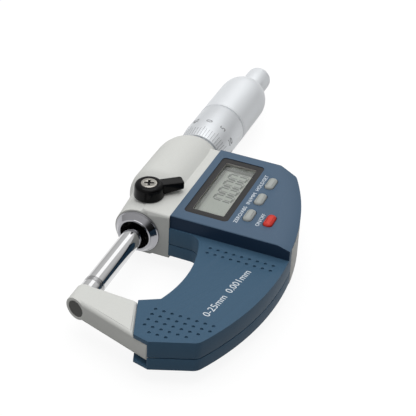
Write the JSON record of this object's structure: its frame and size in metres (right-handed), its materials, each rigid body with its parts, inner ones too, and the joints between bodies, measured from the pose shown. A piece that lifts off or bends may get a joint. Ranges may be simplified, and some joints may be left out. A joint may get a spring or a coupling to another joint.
{
  "type": "outside micrometer",
  "caption": "Digital outside micrometer: C-shaped frame with anvil, screw-fed spindle, thimble, ratchet stop, spindle lock lever and a display box with push buttons.",
  "frame": {"origin": "under the middle of the object's box, on the plane that its lowest point touches", "axes": "+X along the spindle from the anvil to the ratchet knob, +Z the way the display faces, the bow towards -Y"},
  "size_m": [0.1586, 0.0608, 0.0246],
  "materials": {
    "grey_enamel": "satin grey enamel with a fine orange-peel grain",
    "blue_moulding": "fine-grained matt navy blue plastic",
    "carbide": "lapped carbide",
    "dark_steel": "ground steel, darkened",
    "ground_steel": "ground and polished steel",
    "chrome": "bright chrome",
    "satin_chrome": "satin chrome plating",
    "felt": "oiled felt",
    "bronze": "machined bronze",
    "black_plastic": "semi-gloss black plastic",
    "zinc_screw": "zinc-plated steel",
    "black_screw": "blackened steel",
    "brass": "machined brass",
    "spring_steel": "drawn spring steel",
    "board_green": "solder-masked laminate",
    "flex_amber": "polyimide film",
    "rotor_plastic": "filled plastic",
    "black_surround": "dark moulded plastic",
    "window_glass": "clear pane",
    "lcd_grey": "grey-green liquid crystal panel",
    "white_plastic": "white moulded plastic",
    "strip_rubber": "conductive elastomer",
    "button_grey": "matt grey rubber",
    "button_red": "matt red rubber",
    "mat_rubber": "silicone rubber",
    "cell_steel": "nickel-plated steel"
  },
  "bodies": {
    "root": {"frame": "grey_enamel", "front_cover": "blue_moulding", "back_cover": "blue_moulding", "anvil": "dark_steel", "anvil_tip": "carbide", "nose_collar": "chrome", "wiper_ring": "felt", "spindle_bush": "bronze", "encoder_stator": "board_green", "rotor_retainer": "brass", "flex_circuit": "flex_amber", "sleeve": "satin_chrome", "adjusting_nut": "brass", "display_surround": "black_surround", "display_window": "window_glass", "lcd_panel": "lcd_grey", "lcd_holder": "white_plastic", "contact_strip": "strip_rubber", "main_board": "board_green", "key_mat": "mat_rubber", "battery": "cell_steel", "battery_spring": "brass", "cover_screws": "black_screw", "board_screws": "black_screw"},
    "encoder": {"encoder_rotor": "rotor_plastic", "rotor_key": "spring_steel"},
    "spindle": {"spindle": "ground_steel", "spindle_tip": "carbide", "thimble": "satin_chrome", "rear_sleeve": "satin_chrome", "ratchet_disc": "spring_steel", "ratchet_spring": "spring_steel", "ratchet_screw": "black_screw"},
    "ratchet": {"ratchet_knob": "satin_chrome", "ratchet_driver": "spring_steel", "knob_cap": "satin_chrome"},
    "lock_lever": {"lock_lever": "black_plastic", "lock_screw": "zinc_screw", "lock_stem": "black_screw"},
    "lock_pin": {"lock_pin": "brass"},
    "battery_cover": {"battery_cover": "blue_moulding", "lid_contact": "brass"},
    "zero_button": {"zero_button": "button_grey"},
    "unit_button": {"unit_button": "button_grey"},
    "hold_button": {"hold_button": "button_grey"},
    "power_button": {"power_button": "button_red"}
  },
  "joints": [
    {"name": "thimble_turn", "type": "hinge", "parent": "root", "child": "encoder", "pos_m": [-0.00735, 0.019, 0.0114], "axis": [1, 0, 0], "range_deg": [0, 18000]},
    {"name": "spindle_feed", "type": "slide", "parent": "encoder", "child": "spindle", "axis": [1, 0, 0], "range_m": [0, 0.025]},
    {"name": "ratchet_slip", "type": "hinge", "parent": "spindle", "child": "ratchet", "pos_m": [0.07265, 0.019, 0.0114], "axis": [1, 0, 0], "continuous": true},
    {"name": "lock_turn", "type": "hinge", "parent": "root", "child": "lock_lever", "pos_m": [-0.02065, 0.019, 0.0204], "axis": [0, 0, 1], "range_deg": [-70, 0]},
    {"name": "lock_press", "type": "slide", "parent": "root", "child": "lock_pin", "axis": [0, 0, -1], "range_m": [0, 0.00025]},
    {"name": "battery_cover_turn", "type": "hinge", "parent": "root", "child": "battery_cover", "pos_m": [-0.00435, -0.01, 0.0054], "axis": [0, 0, 1], "range_deg": [0, 60]},
    {"name": "zero_press", "type": "slide", "parent": "root", "child": "zero_button", "axis": [0, 0, -1], "range_m": [0, 0.0006], "stiffness_N_per_m": 400, "springref_m": -0.0002},
    {"name": "unit_press", "type": "slide", "parent": "root", "child": "unit_button", "axis": [0, 0, -1], "range_m": [0, 0.0006], "stiffness_N_per_m": 400, "springref_m": -0.0002},
    {"name": "hold_press", "type": "slide", "parent": "root", "child": "hold_button", "axis": [0, 0, -1], "range_m": [0, 0.0006], "stiffness_N_per_m": 400, "springref_m": -0.0002},
    {"name": "power_press", "type": "slide", "parent": "root", "child": "power_button", "axis": [0, 0, -1], "range_m": [0, 0.0006], "stiffness_N_per_m": 400, "springref_m": -0.0002}
  ],
  "couplings": [
    {"joint": "thimble_turn", "follows": "spindle_feed", "rad_per_m": 12566},
    {"joint": "lock_turn", "follows": "lock_press", "rad_per_m": -4886.9}
  ]
}
